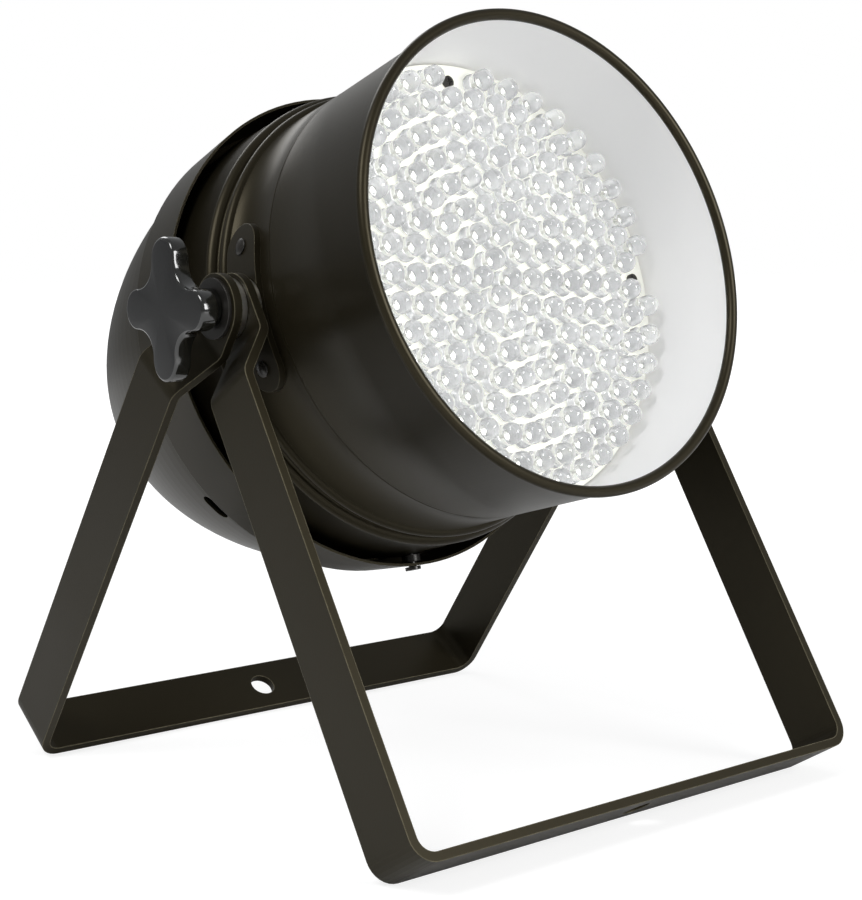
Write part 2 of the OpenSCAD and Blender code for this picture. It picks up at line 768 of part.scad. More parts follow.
module rear_plate() {
    color("#2b2a25") plate_frame() translate([0, 0, -plate_t]) difference() {
        cylinder(r = plate_r, h = plate_t);
        socket_places() translate([0, 0, -1]) cylinder(r = socket_body_r, h = 5);
        socket_screw_places() translate([0, 0, -1]) cylinder(r = small_screw_r, h = 5);
        translate([0, display_y, 0]) cube([display_size[0], display_size[1], 5], center = true);
        button_places() translate([0, 0, -1]) cylinder(r = button_r + button_clear, h = 5);
        translate([0, gland_y, -1]) cylinder(r = gland_thread_r, h = 5);
        around(plate_screw_count, plate_screw_r, 45) translate([0, 0, -1]) cylinder(r = small_screw_r, h = 5);
    }
}

module rear_plate_screws() {
    color("#3a3933") plate_frame() around(plate_screw_count, plate_screw_r, 45) {
        translate([0, 0, housing_wall]) screw_head(small_head_r, small_head_h);
        translate([0, 0, -plate_t - 3]) cylinder(r = small_screw_r, h = plate_t + 3 + housing_wall);
    }
}

control_y = socket_y + socket_body_r + control_clear + control_board[1] / 2;

module control_board() {
    color("darkgreen") plate_frame() translate([0, control_y, -plate_t - control_gap - control_board[2]])
        difference() {
            translate([0, 0, control_board[2] / 2]) cube(control_board, center = true);
            board_corners(control_board, 3) translate([0, 0, -1]) cylinder(r = control_pillar_r / 2, h = 5);
        }
}

module control_pillars() {
    color("silver") plate_frame() translate([0, control_y, 0]) board_corners(control_board, 3) {
        translate([0, 0, -plate_t - control_gap]) cylinder(r = control_pillar_r, h = control_gap);
        translate([0, 0, -plate_t - control_gap - control_board[2] - 1])
            cylinder(r = control_pillar_r / 2, h = control_board[2] + 1);
    }
}

module display_lens() {
    color("#401010") plate_frame() translate([0, display_y, -plate_t - control_gap])
        linear_extrude(plate_t + control_gap) square(display_size, center = true);
}

// Each button: a round cap through the plate, a stem down to the control board
module button(i) {
    color("#8a8a86") plate_frame() translate([(i - 1.5) * button_pitch, button_y, 0]) {
        translate([0, 0, -plate_t]) cylinder(r = button_r, h = plate_t + button_cap_h);
        translate([0, 0, -plate_t - control_gap + button_travel + face_gap])
            cylinder(r = button_r - 1, h = control_gap - button_travel);
    }
}

// Holes for each socket's two flange screws, on one diagonal
module socket_screw_places() {
    socket_places() for (k = SIDES) translate([k * socket_screw_x, k * socket_screw_y, 0]) children();
}

module socket_shell(depth_bored) {
    difference() {
        union() {
            translate([0, 0, socket_flange[2] / 2]) cube(socket_flange, center = true);
            translate([0, 0, -socket_body_len]) cylinder(r = socket_body_r, h = socket_body_len + 1);
        }
        translate([0, 0, socket_flange[2] - depth_bored]) cylinder(r = socket_bore_r, h = depth_bored + 1);
        for (k = SIDES) translate([k * socket_screw_x, k * socket_screw_y, -1])
            cylinder(r = small_screw_r, h = 5);
    }
}

// Contact places, three on a circle
module contact_places() {
    for (turn = [30, 150, 270]) rotate([0, 0, turn]) translate([socket_pin_ring, 0, 0]) children();
}

module data_in_socket() {
    color("#1c1c1b") plate_frame() translate([socket_pitch / 2, socket_y, 0]) difference() {
        socket_shell(socket_depth);
        contact_places() translate([0, 0, -socket_depth])
            cylinder(r = socket_pin_r, h = socket_depth, $fn = COARSE_FN);
    }
}

module data_in_pins() {
    color("goldenrod") plate_frame() translate([socket_pitch / 2, socket_y, socket_flange[2] - socket_depth])
        contact_places() translate([0, 0, -socket_pin_base])
            cylinder(r = socket_pin_r, h = socket_pin_len + socket_pin_base, $fn = COARSE_FN);
}

// Female socket: a core with three contact holes stands in the bore
module data_out_socket() {
    color("#1c1c1b") plate_frame() translate([-socket_pitch / 2, socket_y, 0]) {
        socket_shell(socket_depth);
        translate([0, 0, socket_flange[2] - socket_depth - EPS]) difference() {
            cylinder(r = 7, h = socket_depth + EPS);
            contact_places() translate([0, 0, 1]) cylinder(r = socket_pin_r + 0.1, h = socket_depth, $fn = COARSE_FN);
        }
    }
}

module socket_screws() {
    color("#3a3933") plate_frame() socket_screw_places() {
        translate([0, 0, socket_flange[2]]) screw_head(small_head_r, small_head_h);
        translate([0, 0, -plate_t - 2]) cylinder(r = small_screw_r, h = plate_t + 2 + socket_flange[2]);
    }
}

// ---- Cable gland ----

module gland_place(z) { plate_frame() translate([0, gland_y, z]) children(); }

module gland_bore() { translate([0, 0, -1]) cylinder(r = gland_bore_r, h = 40); }

module cable_gland() {
    color("#1c1c1b") gland_place(-plate_t - gland_nut_h - 2) difference() {
        union() {
            cylinder(r = gland_thread_r, h = plate_t + gland_nut_h + 2);
            translate([0, 0, plate_t + gland_nut_h + 2]) cylinder(r = gland_hex_r, h = gland_hex_h, $fn = 6);
        }
        gland_bore();
    }
}

module gland_cap() {
    color("#1c1c1b") gland_place(gland_hex_h) difference() {
        cylinder(r = gland_cap_r, h = gland_cap_h);
        translate([0, 0, -1]) cylinder(r = gland_bore_r + gland_seal_t, h = gland_cap_h + 2);
    }
}

module gland_seal() {
    color("#0f0f0f") gland_place(gland_hex_h) difference() {
        cylinder(r = gland_bore_r + gland_seal_t, h = gland_cap_h);
        gland_bore();
    }
}

module gland_nut() {
    color("#1c1c1b") gland_place(-plate_t - gland_nut_h) difference() {
        cylinder(r = gland_hex_r, h = gland_nut_h, $fn = 6);
        translate([0, 0, -1]) cylinder(r = gland_thread_r, h = gland_nut_h + 2);
    }
}

// ---- Parts ----

front_yoke();
rear_yoke();
barrel();
rear_housing();
pivot_strap(-1);  // pivot_strap_left
pivot_strap(1);  // pivot_strap_right
strap_rivets(-1);  // strap_rivets_left
strap_rivets(1);  // strap_rivets_right
pivot_bolt(-1);  // pivot_bolt_left
pivot_bolt(1);  // pivot_bolt_right
washer(-1, strap_out, inner_washer_t);  // inner_washer_left
washer(1, strap_out, inner_washer_t);  // inner_washer_right
washer(-1, front_arm_out + 2 * face_gap, middle_washer_t);  // middle_washer_left
washer(1, front_arm_out + 2 * face_gap, middle_washer_t);  // middle_washer_right
washer(-1, rear_arm_out, outer_washer_t);  // outer_washer_left
washer(1, rear_arm_out, outer_washer_t);  // outer_washer_right
knob(-1);  // knob_left
knob(1);  // knob_right
knob_insert(-1);  // knob_insert_left
knob_insert(1);  // knob_insert_right
led_board();
leds();
board_ring();
board_posts();
board_screws();
dimmer_board();
dimmer_posts();
dimmer_transistors();
led_ribbon_cable();
chassis_disc();
toroid_transformer();
toroid_plate();
toroid_bolt();
supply_board();
supply_posts();
supply_capacitors();
cap_screws();
cap_spacers();
rear_plate();
rear_plate_screws();
control_board();
control_pillars();
display_lens();
button(0);  // button_mode
button(1);  // button_down
button(2);  // button_up
button(3);  // button_enter
data_in_socket();
data_in_pins();
data_out_socket();
socket_screws();
cable_gland();
gland_cap();
gland_seal();
gland_nut();
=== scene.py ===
"""Looks of a floor-standing par can light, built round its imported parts.

Every length is in metres, in the frame that the parts share: +Z up, floor at zero.
The can has its own frame: a station runs along the beam from the pivot axis, and the
across directions are the lamp's side (+X) and the upward normal of the beam.
"""

from __future__ import annotations

import json
import logging
from dataclasses import dataclass, replace
from enum import Enum

import bpy
import numpy as np
from mathutils import Matrix, Vector

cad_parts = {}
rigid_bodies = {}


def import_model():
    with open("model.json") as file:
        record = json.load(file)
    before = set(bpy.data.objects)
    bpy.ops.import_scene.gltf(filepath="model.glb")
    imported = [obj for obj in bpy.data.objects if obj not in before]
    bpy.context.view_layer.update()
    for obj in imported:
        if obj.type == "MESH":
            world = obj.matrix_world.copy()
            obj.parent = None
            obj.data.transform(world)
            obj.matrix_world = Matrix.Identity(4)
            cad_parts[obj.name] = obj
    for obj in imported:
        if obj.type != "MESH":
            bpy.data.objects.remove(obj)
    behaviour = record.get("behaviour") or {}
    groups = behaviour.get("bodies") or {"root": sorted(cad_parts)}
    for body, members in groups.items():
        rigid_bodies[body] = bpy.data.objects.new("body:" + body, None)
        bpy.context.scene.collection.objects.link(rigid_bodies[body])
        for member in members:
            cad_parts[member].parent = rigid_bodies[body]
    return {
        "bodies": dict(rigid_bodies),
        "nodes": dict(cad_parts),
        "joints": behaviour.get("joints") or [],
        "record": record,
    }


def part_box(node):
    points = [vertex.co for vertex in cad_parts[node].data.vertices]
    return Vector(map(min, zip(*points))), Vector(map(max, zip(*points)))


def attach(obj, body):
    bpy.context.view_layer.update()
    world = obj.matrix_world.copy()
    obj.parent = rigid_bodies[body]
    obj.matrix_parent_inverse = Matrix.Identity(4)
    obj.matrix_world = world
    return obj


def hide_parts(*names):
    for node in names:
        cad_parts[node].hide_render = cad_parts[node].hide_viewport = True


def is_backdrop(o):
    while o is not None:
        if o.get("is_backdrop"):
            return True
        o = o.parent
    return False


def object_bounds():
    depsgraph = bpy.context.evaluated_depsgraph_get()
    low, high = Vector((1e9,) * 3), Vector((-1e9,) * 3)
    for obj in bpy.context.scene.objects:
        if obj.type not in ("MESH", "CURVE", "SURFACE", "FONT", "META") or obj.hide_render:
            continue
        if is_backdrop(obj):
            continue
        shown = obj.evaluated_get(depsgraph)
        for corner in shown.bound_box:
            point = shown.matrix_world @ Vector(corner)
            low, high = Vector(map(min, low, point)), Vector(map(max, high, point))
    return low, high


LOG = logging.getLogger("par_can")
MM = 0.001


class Side(Enum):
    """The two sides of the lamp, by the sign of X."""

    LEFT = -1
    RIGHT = 1


class Surface(Enum):
    """How light meets a finish."""

    SOLID = "solid"
    CLEAR = "clear"


# ---- Mesh making ----


@dataclass(frozen=True)
class Axes:
    """A right-handed set of axes placed in the shared frame."""

    origin: np.ndarray
    across: np.ndarray
    up: np.ndarray
    along: np.ndarray

    def place(self, across: np.ndarray, up: np.ndarray, along: np.ndarray) -> np.ndarray:
        """Turns distances along the three axes into points.

        A point is the origin plus each distance times its axis.

        Args:
            across: distances along the first axis.
            up: distances along the second axis.
            along: distances along the third axis.

        Returns:
            Points, one row of three numbers each, in the grid's own order.
        """
        across, up, along = np.broadcast_arrays(across, up, along)
        points = (
            self.origin
            + across[..., None] * self.across
            + up[..., None] * self.up
            + along[..., None] * self.along
        )
        return points.reshape(-1, 3)


def grid_faces(rows: int, columns: int, close_rows: bool) -> np.ndarray:
    """Quads of a grid whose columns always close on themselves.

    Face (i, j) joins rows i and i+1 and columns j and j+1, counted round.

    Args:
        rows: number of rows.
        columns: number of columns.
        close_rows: whether the last row joins the first, as on a ring's wall.

    Returns:
        One row of four vertex numbers per face.
    """
    bands = rows if close_rows else rows - 1
    i, j = (n.ravel() for n in np.meshgrid(np.arange(bands), np.arange(columns), indexing="ij"))
    i2, j2 = (i + 1) % rows, (j + 1) % columns
    corners = [i * columns + j, i * columns + j2, i2 * columns + j2, i2 * columns + j]
    return np.stack(corners, axis=1)


def outward(points: np.ndarray, quads: np.ndarray) -> np.ndarray:
    """Turns a closed shell's faces outwards.

    The signed volume is the sum over triangles of corner . (corner x corner) / 6;
    if it is negative, every face is listed the other way round.

    Args:
        points: vertex positions.
        quads: four vertex numbers per face.

    Returns:
        The faces, turned round where needed.
    """
    p = points - points.mean(axis=0)
    a, b, c, d = (p[quads[:, k]] for k in range(4))
    first = np.einsum("ij,ij->", a, np.cross(b, c))
    second = np.einsum("ij,ij->", a, np.cross(c, d))
    volume = (first + second) / 6
    return quads if volume > 0 else quads[:, ::-1]


def capped_faces(points: np.ndarray, rows: int, columns: int) -> tuple[np.ndarray, np.ndarray]:
    """Faces of one shell whose first and last rings are each closed by a flat cap.

    A cap lists its ring against the way that the quads beside it do, so that every
    face looks the same way, and all are turned round together if they look inwards.

    Args:
        points: the shell's vertices, ring after ring.
        rows: number of rings.
        columns: vertices in each ring.

    Returns:
        The outward quads and the two outward caps.
    """
    inward_or_out = grid_faces(rows, columns, False)
    quads = outward(points, inward_or_out)
    ring = np.arange(columns)
    caps = np.stack([ring[::-1], (rows - 1) * columns + ring])
    return quads, caps if np.array_equal(quads, inward_or_out) else caps[:, ::-1]


def make_piece(
    name: str,
    points: np.ndarray,
    quads: np.ndarray,
    materials: list[bpy.types.Material],
    which: np.ndarray | None = None,
    caps: np.ndarray | None = None,
) -> bpy.types.Object:
    """Puts worked-out points and faces into a smooth-shaded object at the origin.

    Args:
        name: the piece's name.
        points: vertex positions.
        quads: four vertex numbers per face.
        materials: the finishes, in slot order.
        which: the slot number of each face, or None for the first slot throughout.
        caps: vertex numbers of many-sided faces, listed after the quads, or None.

    Returns:
        The new object.
    """
    mesh = bpy.data.meshes.new(name)
    faces = quads.tolist() + ([] if caps is None else caps.tolist())
    mesh.from_pydata(points.tolist(), [], faces)
    mesh.polygons.foreach_set("use_smooth", np.ones(len(faces), dtype=bool))
    for material in materials:
        mesh.materials.append(material)
    if which is not None:
        mesh.polygons.foreach_set("material_index", which.astype(np.int32))
    mesh.update()
    piece = bpy.data.objects.new(name, mesh)
    bpy.context.scene.collection.objects.link(piece)
    return piece


def arc(
    centre: tuple[float, float], radius: float, start: float, stop: float, count: int
) -> np.ndarray:
    """Points of a circle's arc: centre plus radius times (cosine, sine) of each angle.

    Args:
        centre: the circle's centre in the profile's plane.
        radius: the circle's radius.
        start: first angle, degrees.
        stop: last angle, degrees.
        count: number of points.

    Returns:
        One row of two numbers per point.
    """
    t = np.radians(np.linspace(start, stop, count))
    return np.asarray(centre) + radius * np.stack([np.cos(t), np.sin(t)], axis=1)


def turned(axes: Axes, profile: np.ndarray, columns: int) -> tuple[np.ndarray, np.ndarray]:
    """A closed wall of revolution.

    Point (i, j) lies at radius r_i and station s_i, turned by angle j * 360 / columns.

    Args:
        axes: the axes, turning about their third.
        profile: a closed outline, one (radius, station) row per point.
        columns: number of steps round.

    Returns:
        The points and the outward quads.
    """
    angle = np.linspace(0, 2 * np.pi, columns, endpoint=False)
    radius, station = profile[:, 0][:, None], profile[:, 1][:, None]
    points = axes.place(radius * np.cos(angle), radius * np.sin(angle), station + 0 * angle)
    return points, outward(points, grid_faces(len(profile), columns, True))


# ---- Shared shader effects ----


def link(
    tree: bpy.types.NodeTree, source: bpy.types.NodeSocket, target: bpy.types.NodeSocket
) -> None:
    """Joins two sockets.

    Args:
        tree: the node tree.
        source: an output socket.
        target: an input socket.
    """
    tree.links.new(source, target)


def maths(
    tree: bpy.types.NodeTree, kind: str, first: object, second: object
) -> bpy.types.NodeSocket:
    """Adds a Math node, whose product is kept between zero and one.

    Args:
        tree: the node tree.
        kind: the operation.
        first: a socket or a number.
        second: a socket or a number.

    Returns:
        The node's output socket.
    """
    node = tree.nodes.new("ShaderNodeMath")
    node.operation = kind
    node.use_clamp = kind == "MULTIPLY"
    for socket, value in zip(node.inputs, (first, second)):
        if isinstance(value, (int, float)):
            socket.default_value = value
        else:
            link(tree, value, socket)
    return node.outputs[0]


def new_group(
    name: str, inputs: dict[str, float], outputs: dict[str, str]
) -> bpy.types.NodeTree:
    """Makes an empty shader group with named sockets.

    Args:
        name: the group's name.
        inputs: number inputs with their first values.
        outputs: output names with their socket types.

    Returns:
        The group, with its input and output nodes added.
    """
    tree = bpy.data.node_groups.new(name, "ShaderNodeTree")
    for label, value in inputs.items():
        socket = tree.interface.new_socket(label, in_out="INPUT", socket_type="NodeSocketFloat")
        socket.default_value = value
    for label, kind in outputs.items():
        tree.interface.new_socket(label, in_out="OUTPUT", socket_type=kind)
    tree.nodes.new("NodeGroupInput")
    tree.nodes.new("NodeGroupOutput")
    return tree


class Effects:
    """Shader groups that the finishes share, each built once."""

    BEVEL_SAMPLES = 6
    # Noise that breaks up the edge mark of wear and painted edge highlights
    WEAR_AND_HIGHLIGHT_NOISE_SCALE = 160.0
    WEAR_AND_HIGHLIGHT_NOISE_LIFT = 0.2

    def __init__(self) -> None:
        """Builds the groups."""
        self.grain = self._build_grain()
        self.edges = self._build_edges()

    def _build_grain(self) -> bpy.types.NodeTree:
        """Fine grain and broad patches, from two noises on Object coordinates.

        Returns:
            A group with outputs Grain and Patches.
        """
        tree = new_group(
            "surface_grain",
            {"Size": 900.0, "Patch Size": 14.0},
            {"Grain": "NodeSocketFloat", "Patches": "NodeSocketFloat"},
        )
        source, sink = tree.nodes["Group Input"], tree.nodes["Group Output"]
        place = tree.nodes.new("ShaderNodeTexCoord")
        for label, output, detail in (("Size", "Grain", 3.0), ("Patch Size", "Patches", 4.0)):
            noise = tree.nodes.new("ShaderNodeTexNoise")
            noise.inputs["Detail"].default_value = detail
            link(tree, place.outputs["Object"], noise.inputs["Vector"])
            link(tree, source.outputs[label], noise.inputs["Scale"])
            link(tree, noise.outputs["Fac"], sink.inputs[output])
        return tree

    def _build_edges(self) -> bpy.types.NodeTree:
        """Softened edges and a mask for edge wear and painted edge highlights.

        The mask is one minus the cosine between the true normal and the softened
        one, scaled up, and broken up by noise.

        Returns:
            A group with outputs Mask and Normal.
        """
        tree = new_group(
            "soft_edges",
            {"Radius": 0.0004, "Strength": 6.0},
            {"Mask": "NodeSocketFloat", "Normal": "NodeSocketVector"},
        )
        source, sink = tree.nodes["Group Input"], tree.nodes["Group Output"]
        bevel = tree.nodes.new("ShaderNodeBevel")
        bevel.samples = self.BEVEL_SAMPLES
        link(tree, source.outputs["Radius"], bevel.inputs["Radius"])
        true = tree.nodes.new("ShaderNodeNewGeometry")
        dot = tree.nodes.new("ShaderNodeVectorMath")
        dot.operation = "DOT_PRODUCT"
        link(tree, bevel.outputs["Normal"], dot.inputs[0])
        link(tree, true.outputs["Normal"], dot.inputs[1])
        gap = maths(tree, "SUBTRACT", 1.0, dot.outputs["Value"])
        raw = maths(tree, "MULTIPLY", gap, source.outputs["Strength"])
        place = tree.nodes.new("ShaderNodeTexCoord")
        noise = tree.nodes.new("ShaderNodeTexNoise")
        noise.inputs["Scale"].default_value = self.WEAR_AND_HIGHLIGHT_NOISE_SCALE
        link(tree, place.outputs["Object"], noise.inputs["Vector"])
        patchy = maths(tree, "ADD", noise.outputs["Fac"], self.WEAR_AND_HIGHLIGHT_NOISE_LIFT)
        broken = maths(tree, "MULTIPLY", raw, patchy)
        link(tree, broken, sink.inputs["Mask"])
        link(tree, bevel.outputs["Normal"], sink.inputs["Normal"])
        return tree


ROUGHNESS_SWING = 0.12
COAT_ROUGHNESS = 0.08
BUMP_STRENGTH = 0.6
CLEAR_TRANSMISSION = 0.92
CLEAR_IOR = 1.5
MIX_COLOUR_INPUTS = (6, 7)
MIX_COLOUR_OUTPUT = 2


@dataclass(frozen=True)
class Finish:
    """One surface finish: colour, gloss, grain, edge wear with painted edge highlights, and painted
    glow.
    """

    colour: tuple[float, float, float]
    roughness: float = 0.45
    metallic: float = 0.0
    variation: float = 0.12
    grain_size: float = 900.0
    patch_size: float = 14.0
    bump: float = 0.00002
    # The edge colour and its amount along the soft-edge mask: worn paint, and painted highlight
    # lines on the edges.
    worn_and_highlight_colour: tuple[float, float, float] = (0.3, 0.29, 0.27)
    edge_wear_and_highlight: float = 0.25
    edge_radius: float = 0.0004
    coat: float = 0.0
    specular: float = 0.5
    specular_tint: tuple[float, float, float] = (1.0, 1.0, 1.0)
    # Emission on parts that are no lamps: painted glow that makes them look lit.
    painted_glow: float = 0.0
    painted_glow_colour: tuple[float, float, float] = (1.0, 0.98, 0.9)
    surface: Surface = Surface.SOLID

    def build(self, name: str, effects: Effects) -> bpy.types.Material:
        """Makes the material.

        Args:
            name: the material's name.
            effects: the shared groups.

        Returns:
            The finished material.
        """
        material = bpy.data.materials.new(name)
        material.use_nodes = True
        tree = material.node_tree
        shader = tree.nodes["Principled BSDF"]
        shader.inputs["Metallic"].default_value = self.metallic
        shader.inputs["Coat Weight"].default_value = self.coat
        shader.inputs["Coat Roughness"].default_value = COAT_ROUGHNESS
        shader.inputs["Specular IOR Level"].default_value = self.specular
        shader.inputs["Specular Tint"].default_value = (*self.specular_tint, 1.0)
        # Painted glow: emission that makes an unlit surface look lit.
        shader.inputs["Emission Color"].default_value = (*self.painted_glow_colour, 1.0)
        shader.inputs["Emission Strength"].default_value = self.painted_glow
        grain = tree.nodes.new("ShaderNodeGroup")
        grain.node_tree = effects.grain
        grain.inputs["Size"].default_value = self.grain_size
        grain.inputs["Patch Size"].default_value = self.patch_size
        patches = grain.outputs["Patches"]
        dark, light = self._shade(1 - self.variation), self._shade(1 + self.variation)
        base = self._mixed(tree, patches, dark, light)
        swing = maths(tree, "MULTIPLY", patches, ROUGHNESS_SWING)
        rough = maths(tree, "ADD", self.roughness - ROUGHNESS_SWING / 2, swing)
        link(tree, rough, shader.inputs["Roughness"])
        bump = tree.nodes.new("ShaderNodeBump")
        bump.inputs["Distance"].default_value = self.bump
        bump.inputs["Strength"].default_value = BUMP_STRENGTH
        link(tree, grain.outputs["Grain"], bump.inputs["Height"])
        link(tree, bump.outputs["Normal"], shader.inputs["Normal"])
        if self.surface is Surface.CLEAR:
            shader.inputs["Transmission Weight"].default_value = CLEAR_TRANSMISSION
            shader.inputs["IOR"].default_value = CLEAR_IOR
            link(tree, base, shader.inputs["Base Color"])
            return material
        edges = tree.nodes.new("ShaderNodeGroup")
        edges.node_tree = effects.edges
        edges.inputs["Radius"].default_value = self.edge_radius
        link(tree, edges.outputs["Normal"], bump.inputs["Normal"])
        # Lighter edges: partly worn paint, partly painted highlight along the edges.
        mask = maths(tree, "MULTIPLY", edges.outputs["Mask"], self.edge_wear_and_highlight)
        link(tree, self._mixed(tree, mask, base, self.worn_and_highlight_colour), shader.inputs["Base Color"])
        return material

    def _shade(self, factor: float) -> tuple[float, float, float]:
        """The colour made lighter or darker.

        Args:
            factor: what each channel is multiplied by.

        Returns:
            The new colour, no channel above one.
        """
        return tuple(min(1.0, c * factor) for c in self.colour)

    @staticmethod
    def _mixed(
        tree: bpy.types.NodeTree, factor: bpy.types.NodeSocket, first: object, second: object
    ) -> bpy.types.NodeSocket:
        """Mixes two colours.

        Args:
            tree: the node tree.
            factor: the socket that picks between them.
            first: a colour or a socket, shown where the factor is zero.
            second: a colour or a socket, shown where the factor is one.

        Returns:
            The mixed colour's socket.
        """
        node = tree.nodes.new("ShaderNodeMix")
        node.data_type = "RGBA"
        link(tree, factor, node.inputs["Factor"])
        for index, value in zip(MIX_COLOUR_INPUTS, (first, second)):
            if isinstance(value, tuple):
                node.inputs[index].default_value = (*value, 1.0)
            else:
                link(tree, value, node.inputs[index])
        return node.outputs[MIX_COLOUR_OUTPUT]


ZINC = Finish((0.62, 0.61, 0.58), 0.3, 1.0, 0.1, worn_and_highlight_colour=(0.8, 0.79, 0.76))
BLACK_METAL = Finish((0.025, 0.023, 0.02), 0.34, 0.4, 0.15)
MOULDED = Finish((0.02, 0.02, 0.02), 0.42, worn_and_highlight_colour=(0.08, 0.08, 0.08))

# Olive-black paint; its lighter edge colour is partly wear and partly painted highlight along the
# edges.
OLIVE_BLACK = Finish(
    (0.0125, 0.0103, 0.0058),
    0.34,
    variation=0.14,
    edge_wear_and_highlight=0.3,
    worn_and_highlight_colour=(0.26, 0.235, 0.16),
    specular=0.24,
    specular_tint=(1.0, 0.88, 0.6),
)

FINISHES: dict[str, Finish] = {
    # The yoke's strong edge mark paints light highlight lines along the arms' edges, partly wear.
    "yoke_paint": replace(OLIVE_BLACK, roughness=0.42, bump=0.00004, edge_wear_and_highlight=0.9, edge_radius=0.0007),
    "can_paint": OLIVE_BLACK,
    "housing_paint": replace(OLIVE_BLACK, edge_wear_and_highlight=0.5),
    "strap_paint": replace(OLIVE_BLACK, edge_wear_and_highlight=0.6),
    "rivet": Finish((0.02, 0.018, 0.015), 0.26, 0.2, edge_wear_and_highlight=0.3),
    "zinc": ZINC,
    "black_screw": BLACK_METAL,
    "knob_plastic": Finish(
        (0.006, 0.006, 0.005), 0.12, coat=1.0, edge_wear_and_highlight=0.1, worn_and_highlight_colour=(0.1, 0.1, 0.1)
    ),
    "brass": Finish((0.7, 0.5, 0.25), 0.28, 1.0, worn_and_highlight_colour=(0.85, 0.7, 0.4)),
    # The board is unlit; its emission is painted glow that makes it look lit and bright.
    "white_board": Finish(
        (0.84, 0.85, 0.78),
        0.5,
        variation=0.06,
        patch_size=60.0,
        worn_and_highlight_colour=(0.8, 0.75, 0.5),
        edge_wear_and_highlight=0.3,
        painted_glow=0.26,
        painted_glow_colour=(1.0, 0.99, 0.9),
    ),
    # The LEDs are off; the bodies' emission is painted glow that makes them look bright white.
    "led_epoxy": Finish(
        (0.99, 0.995, 1.0),
        0.05,
        variation=0.005,
        bump=0.000002,
        painted_glow=0.04,
        painted_glow_colour=(0.95, 0.97, 1.0),
        surface=Surface.CLEAR,
    ),
    "ring_steel": Finish((0.7, 0.7, 0.68), 0.35, 1.0, worn_and_highlight_colour=(0.85, 0.85, 0.83)),
    "green_board": Finish(
        (0.05, 0.22, 0.1), 0.4, patch_size=90.0, worn_and_highlight_colour=(0.5, 0.5, 0.3)
    ),
    "black_plastic": MOULDED,
    "nylon": Finish((0.85, 0.85, 0.8), 0.5, worn_and_highlight_colour=(0.9, 0.9, 0.88)),
    "ribbon": Finish((0.55, 0.57, 0.6), 0.5, worn_and_highlight_colour=(0.6, 0.6, 0.62)),
    "winding": Finish(
        (0.45, 0.25, 0.08), 0.38, variation=0.3, grain_size=1500.0, bump=0.0001, patch_size=200.0
    ),
    "capacitor": Finish((0.03, 0.05, 0.1), 0.3, worn_and_highlight_colour=(0.5, 0.5, 0.5)),
    "display": Finish((0.12, 0.01, 0.01), 0.12, coat=0.5, worn_and_highlight_colour=(0.2, 0.05, 0.05)),
    "button_grey": Finish((0.3, 0.3, 0.29), 0.5, worn_and_highlight_colour=(0.45, 0.45, 0.44)),
    "rubber": Finish((0.02, 0.02, 0.02), 0.7, worn_and_highlight_colour=(0.05, 0.05, 0.05)),
}
# White inside paint; its emission is painted light that stands in for light falling into the can.
WHITE_INSIDE = Finish(
    (0.9, 0.895, 0.905),
    0.6,
    variation=0.015,
    bump=0.00001,
    edge_wear_and_highlight=0.0,
    painted_glow=0.12,
    painted_glow_colour=(0.97, 0.98, 1.0),
)
KNOB_FACE = Finish((0.01, 0.01, 0.01), 0.42, variation=0.1, bump=0.00004, edge_wear_and_highlight=0.0)
# Lead frames: their emission is painted glow that makes them look lit.
LEAD_METAL = Finish((0.85, 0.85, 0.82), 0.28, 1.0, edge_wear_and_highlight=0.0, painted_glow=0.06)


class Paintbox:
    """The materials, one for each of the record's slots and a few of the scene's own."""

    def __init__(self) -> None:
        """Builds every material once."""
        effects = Effects()
        self.slots = {name: finish.build(name, effects) for name, finish in FINISHES.items()}
        self.white_inside = WHITE_INSIDE.build("white_inside", effects)
        self.knob_face = KNOB_FACE.build("knob_face", effects)
        self.lead_metal = LEAD_METAL.build("lead_metal", effects)

    def dress_frame(self, frame: dict) -> None:
        """Gives every carried-over node the finish of its slot.

        Args:
            frame: what load() returned.
        """
        for row in frame["record"]["subparts"]:
            mesh = frame["nodes"][row["node"]].data
            mesh.materials.clear()
            mesh.materials.append(self.slots[row["material_slot"]])


# ---- Sub-assemblies ----

# The rolled crease's (radius, station) rows, from the tube's surface and the crease's middle
CREASE = np.array([[0.06, 0.9], [0.12, 0.45], [-0.3, 0.0], [0.1, -0.45], [0.0, -0.9]]) * MM
RIB_POINTS = 17
BEAD_POINTS = 40
BEAD_ARC = (240, -60)


